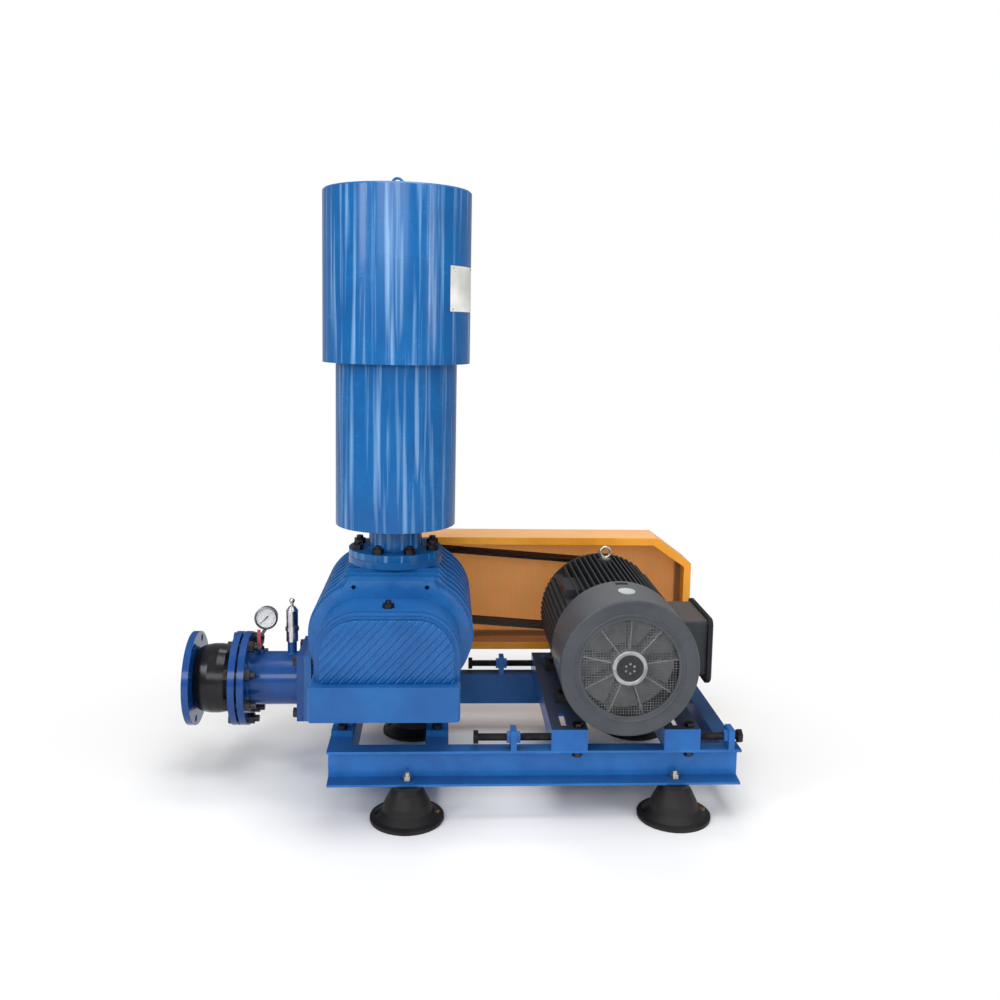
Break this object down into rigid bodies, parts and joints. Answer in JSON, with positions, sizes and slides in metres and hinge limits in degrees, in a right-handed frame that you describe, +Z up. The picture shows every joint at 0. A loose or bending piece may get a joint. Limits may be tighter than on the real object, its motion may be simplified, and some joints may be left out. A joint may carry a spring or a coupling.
{
  "type": "roots vacuum pump set",
  "caption": "Belt-driven Roots vacuum pump with inlet silencer, electric motor on slide rails, belt guard, gauge, relief valve and rubber outlet joint on a channel base.",
  "frame": {"origin": "on the floor, under the middle of the set", "axes": "+X to the motor end along the long rails, +Y to the belt guard, +Z up"},
  "size_m": [1.6052, 0.912, 1.7779],
  "materials": {
    "frame_blue": "gloss",
    "casing_blue": "gloss",
    "gear_case_blue": "satin",
    "silencer_blue": "gloss",
    "guard_orange": "satin",
    "guard_mesh": "matte",
    "motor_grey": "satin",
    "motor_dark": "satin",
    "black_rubber": "matte",
    "zinc_steel": "satin",
    "bare_steel": "satin",
    "grey_iron": "matte",
    "brass": "satin",
    "chrome": "polished",
    "clear_glass": "polished",
    "lever_red": "satin",
    "filter_fabric": "matte",
    "gasket_grey": "matte",
    "plastic_black": "matte",
    "winding_copper": "satin"
  },
  "bodies": {
    "drive_rotor": {"drive_rotor": "grey_iron", "drive_timing_gear": "bare_steel", "blower_pulley": "grey_iron"},
    "driven_rotor": {"driven_rotor": "grey_iron", "driven_timing_gear": "bare_steel"},
    "motor_carriage": {"slide_rail_left": "frame_blue", "slide_rail_right": "frame_blue", "motor_fasteners": "zinc_steel", "motor_barrel": "motor_dark", "motor_stator": "winding_copper", "motor_end_shields": "motor_dark", "motor_bearings": "bare_steel", "motor_cowl": "motor_grey", "motor_cowl_grille": "motor_grey", "terminal_box": "motor_dark", "terminal_box_lid": "motor_dark", "terminals_and_glands": "brass"},
    "motor_rotor": {"motor_rotor_shaft": "bare_steel", "motor_fan": "plastic_black", "motor_pulley": "grey_iron"},
    "gauge_needle": {"gauge_needle": "plastic_black"},
    "gauge_cock_lever": {"gauge_cock_lever": "lever_red"},
    "relief_valve_stem": {"relief_valve_stem": "brass"},
    "joint_outer_flange": {"joint_outer_flange": "casing_blue"},
    "jack_bolt_left_front": {"jack_bolt_left_front": "zinc_steel"},
    "jack_bolt_left_rear": {"jack_bolt_left_rear": "zinc_steel"},
    "jack_bolt_right_front": {"jack_bolt_right_front": "zinc_steel"},
    "jack_bolt_right_rear": {"jack_bolt_right_rear": "zinc_steel"},
    "base": {"belt_guard": "guard_orange", "belt_guard_brackets": "guard_orange", "belt_guard_mesh": "guard_mesh", "blower_bearings_and_seals": "bare_steel", "blower_casing": "casing_blue", "cross_beams": "frame_blue", "drive_belts": "black_rubber", "filter_element": "filter_fabric", "flange_gaskets": "gasket_grey", "foot_fasteners": "zinc_steel", "front_end_plate": "casing_blue", "front_rail": "frame_blue", "gauge_case": "chrome", "gauge_cock": "brass", "gauge_glass": "clear_glass", "gear_case": "gear_case_blue", "jack_brackets_and_nuts": "frame_blue", "joint_inner_flange": "casing_blue", "oil_filler_plug": "bare_steel", "outlet_pipe": "casing_blue", "pump_and_flange_bolts": "zinc_steel", "rain_hood": "silencer_blue", "rear_end_plate": "casing_blue", "rear_rail": "frame_blue", "relief_valve_body": "chrome", "relief_valve_spring": "bare_steel", "right_cross_channel": "frame_blue", "rubber_feet": "black_rubber", "rubber_joint": "black_rubber", "silencer_core": "filter_fabric", "silencer_drum": "silencer_blue"}
  },
  "joints": [
    {"name": "drive_rotor_spin", "type": "hinge", "parent": "base", "child": "drive_rotor", "pos_m": [-0.10435, 0.016, 0.484], "axis": [0, 1, 0], "continuous": true},
    {"name": "driven_rotor_spin", "type": "hinge", "parent": "base", "child": "driven_rotor", "pos_m": [-0.26035, 0.016, 0.484], "axis": [0, 1, 0], "continuous": true},
    {"name": "motor_carriage_slide", "type": "slide", "parent": "base", "child": "motor_carriage", "axis": [1, 0, 0], "range_m": [-0.008, 0.02], "deforming": ["drive_belts"]},
    {"name": "motor_rotor_spin", "type": "hinge", "parent": "motor_carriage", "child": "motor_rotor", "pos_m": [0.46965, 0.016, 0.44], "axis": [0, 1, 0], "continuous": true},
    {"name": "gauge_needle_turn", "type": "hinge", "parent": "base", "child": "gauge_needle", "pos_m": [-0.57035, 0.003, 0.462], "axis": [0, 1, 0], "range_deg": [0, 270]},
    {"name": "gauge_cock_turn", "type": "hinge", "parent": "base", "child": "gauge_cock_lever", "pos_m": [-0.59035, -0.003, 0.3815], "axis": [0, 1, 0], "range_deg": [0, 90]},
    {"name": "relief_valve_lift", "type": "slide", "parent": "base", "child": "relief_valve_stem", "axis": [0, 0, 1], "range_m": [0, 0.005], "stiffness_N_per_m": 3000, "springref_m": -0.002, "deforming": ["relief_valve_spring"]},
    {"name": "rubber_joint_flex", "type": "slide", "parent": "base", "child": "joint_outer_flange", "axis": [1, 0, 0], "range_m": [-0.012, 0.008], "stiffness_N_per_m": 60000, "deforming": ["rubber_joint"]},
    {"name": "jack_bolt_left_front_turn", "type": "hinge", "parent": "motor_carriage", "child": "jack_bolt_left_front", "pos_m": [0.46965, -0.345, 0.231], "axis": [1, 0, 0], "range_deg": [-1153, 2881]},
    {"name": "jack_bolt_left_rear_turn", "type": "hinge", "parent": "motor_carriage", "child": "jack_bolt_left_rear", "pos_m": [0.46965, 0.267, 0.231], "axis": [1, 0, 0], "range_deg": [-1153, 2881]},
    {"name": "jack_bolt_right_front_turn", "type": "hinge", "parent": "motor_carriage", "child": "jack_bolt_right_front", "pos_m": [0.46965, -0.345, 0.231], "axis": [1, 0, 0], "range_deg": [-1153, 2881]},
    {"name": "jack_bolt_right_rear_turn", "type": "hinge", "parent": "motor_carriage", "child": "jack_bolt_right_rear", "pos_m": [0.46965, 0.267, 0.231], "axis": [1, 0, 0], "range_deg": [-1153, 2881]}
  ],
  "couplings": [
    {"joint": "driven_rotor_spin", "follows": "drive_rotor_spin", "ratio": -1},
    {"joint": "motor_rotor_spin", "follows": "drive_rotor_spin", "ratio": 1},
    {"joint": "jack_bolt_left_front_turn", "follows": "motor_carriage_slide", "rad_per_m": 2513.3},
    {"joint": "jack_bolt_left_rear_turn", "follows": "motor_carriage_slide", "rad_per_m": 2513.3},
    {"joint": "jack_bolt_right_front_turn", "follows": "motor_carriage_slide", "rad_per_m": 2513.3},
    {"joint": "jack_bolt_right_rear_turn", "follows": "motor_carriage_slide", "rad_per_m": 2513.3}
  ]
}
